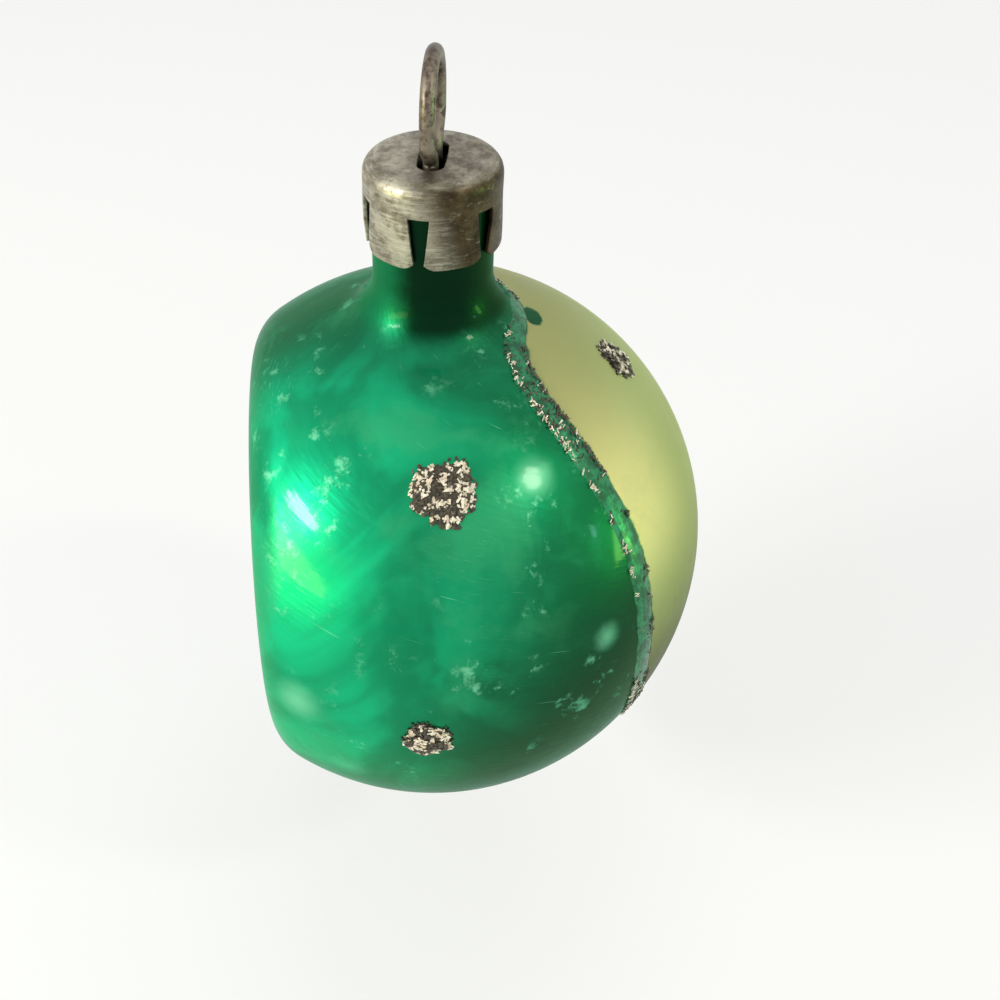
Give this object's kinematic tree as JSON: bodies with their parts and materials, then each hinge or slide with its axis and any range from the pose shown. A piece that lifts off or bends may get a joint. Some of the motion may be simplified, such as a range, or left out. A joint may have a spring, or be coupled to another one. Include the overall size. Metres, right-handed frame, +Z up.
{
  "type": "glass indent ornament",
  "caption": "Hollow blown glass ball with a fluted dish pressed into its side, hung by a spring wire eye in a crimped metal neck cap.",
  "frame": {"origin": "underside of the top of the hanger's eye, where a hook carries the ornament", "axes": "+Z up along the neck; the pressed-in dish faces -X; -Y is the side seen in the picture"},
  "size_m": [0.0369, 0.0456, 0.0651],
  "materials": {
    "lacquered_glass": "silvered glass under clear green lacquer, matt cream over the back",
    "cap_metal": "aged satin sheet metal",
    "wire_steel": "tarnished",
    "glitter": "coarse glass flakes in dark glue, worn"
  },
  "bodies": {
    "hanger": {"hanger_wire": "wire_steel"},
    "cap": {"cap": "cap_metal"},
    "ball": {"glass_body": "lacquered_glass", "glitter_band": "glitter", "glitter_dot_green_1": "glitter", "glitter_dot_green_2": "glitter", "glitter_dot_green_3": "glitter", "glitter_dot_green_4": "glitter", "glitter_dot_green_5": "glitter", "glitter_dot_green_6": "glitter", "glitter_dot_cream_1": "glitter", "glitter_dot_cream_2": "glitter", "glitter_dot_cream_3": "glitter"}
  },
  "joints": [
    {"name": "eye_play", "type": "slide", "parent": "hanger", "child": "cap", "axis": [0, 0, 1], "range_m": [0, 0.0004]},
    {"name": "ball_pull", "type": "slide", "parent": "cap", "child": "ball", "axis": [0, 0, -1], "range_m": [0, 0.0145]}
  ]
}
